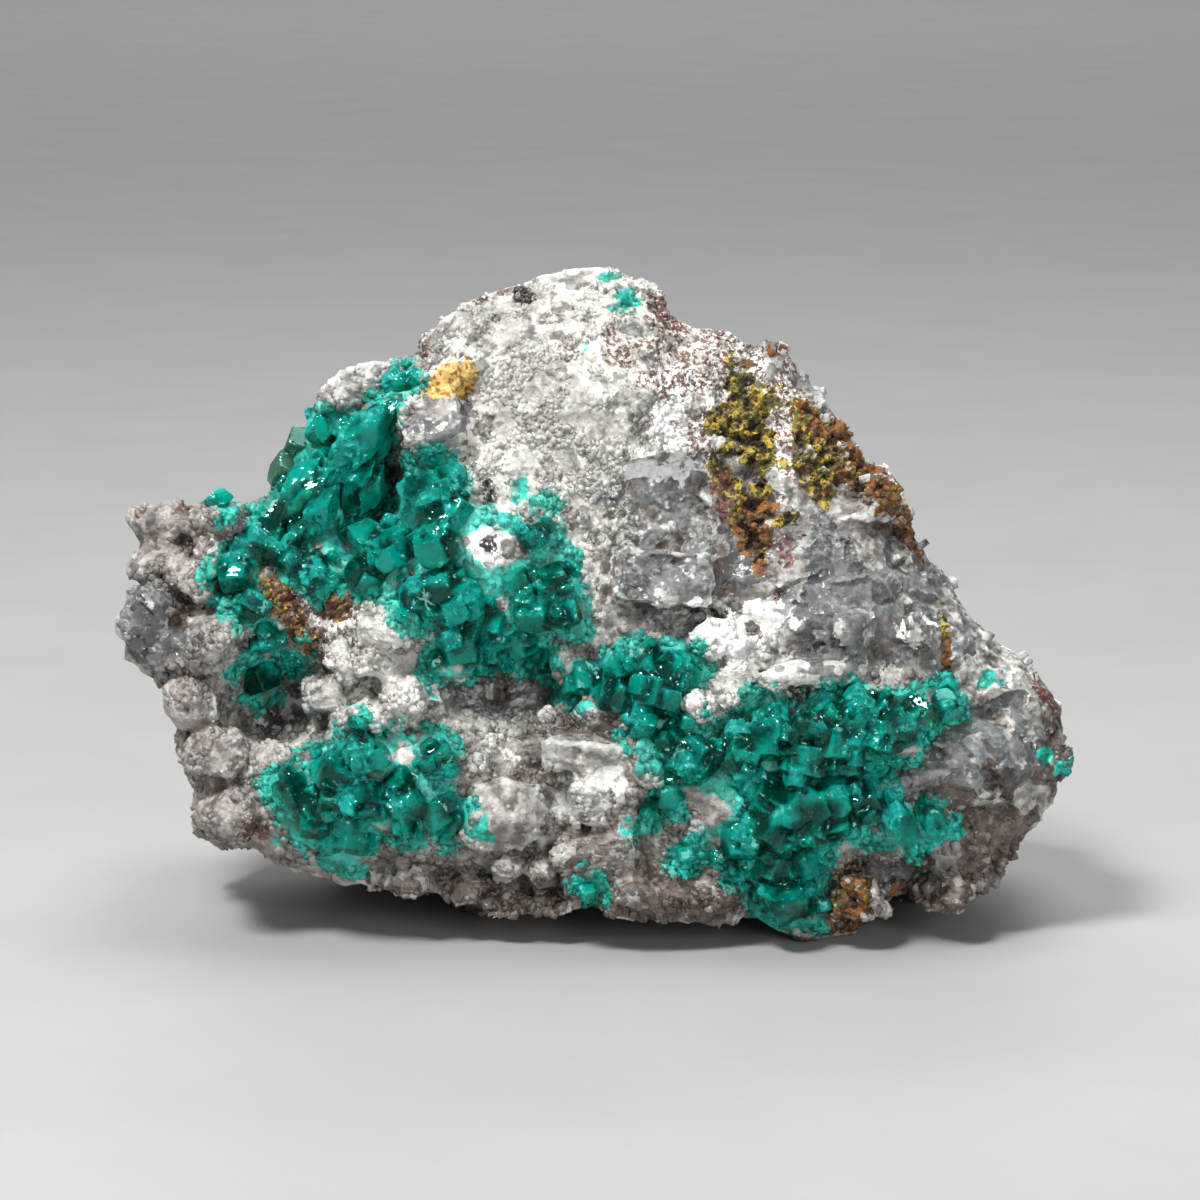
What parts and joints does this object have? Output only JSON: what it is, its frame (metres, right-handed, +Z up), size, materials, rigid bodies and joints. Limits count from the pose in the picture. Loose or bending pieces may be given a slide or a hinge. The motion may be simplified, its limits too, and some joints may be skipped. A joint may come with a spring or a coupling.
{
  "type": "dioptase mineral specimen",
  "caption": "Hand-sized specimen of green dioptase crystals grown in masses on a white and grey calcite and quartz rock with iron stains, resting on its rough underside.",
  "frame": {"origin": "under the middle of the bounding box, on the surface the specimen rests on", "axes": "+X along the length, to the right as the crystals are faced; -Y is the side that shows the crystals; +Z up"},
  "size_m": [0.0961, 0.0557, 0.0664],
  "materials": {
    "calcite_quartz_rock": "rough, sparkling in places",
    "dioptase": "glossy, see-through green",
    "smoky_dioptase": "glossy, smoky olive green"
  },
  "bodies": {
    "root": {"matrix_rock": "calcite_quartz_rock", "dioptase_upper_left": "dioptase", "dioptase_lower_right": "dioptase", "dioptase_lower_left": "dioptase", "dioptase_smoky": "smoky_dioptase", "dioptase_cave": "dioptase", "dioptase_rim": "dioptase", "dioptase_bead_low": "dioptase", "dioptase_chip_low": "dioptase", "dioptase_edge": "dioptase", "dioptase_summit": "dioptase"}
  },
  "joints": []
}
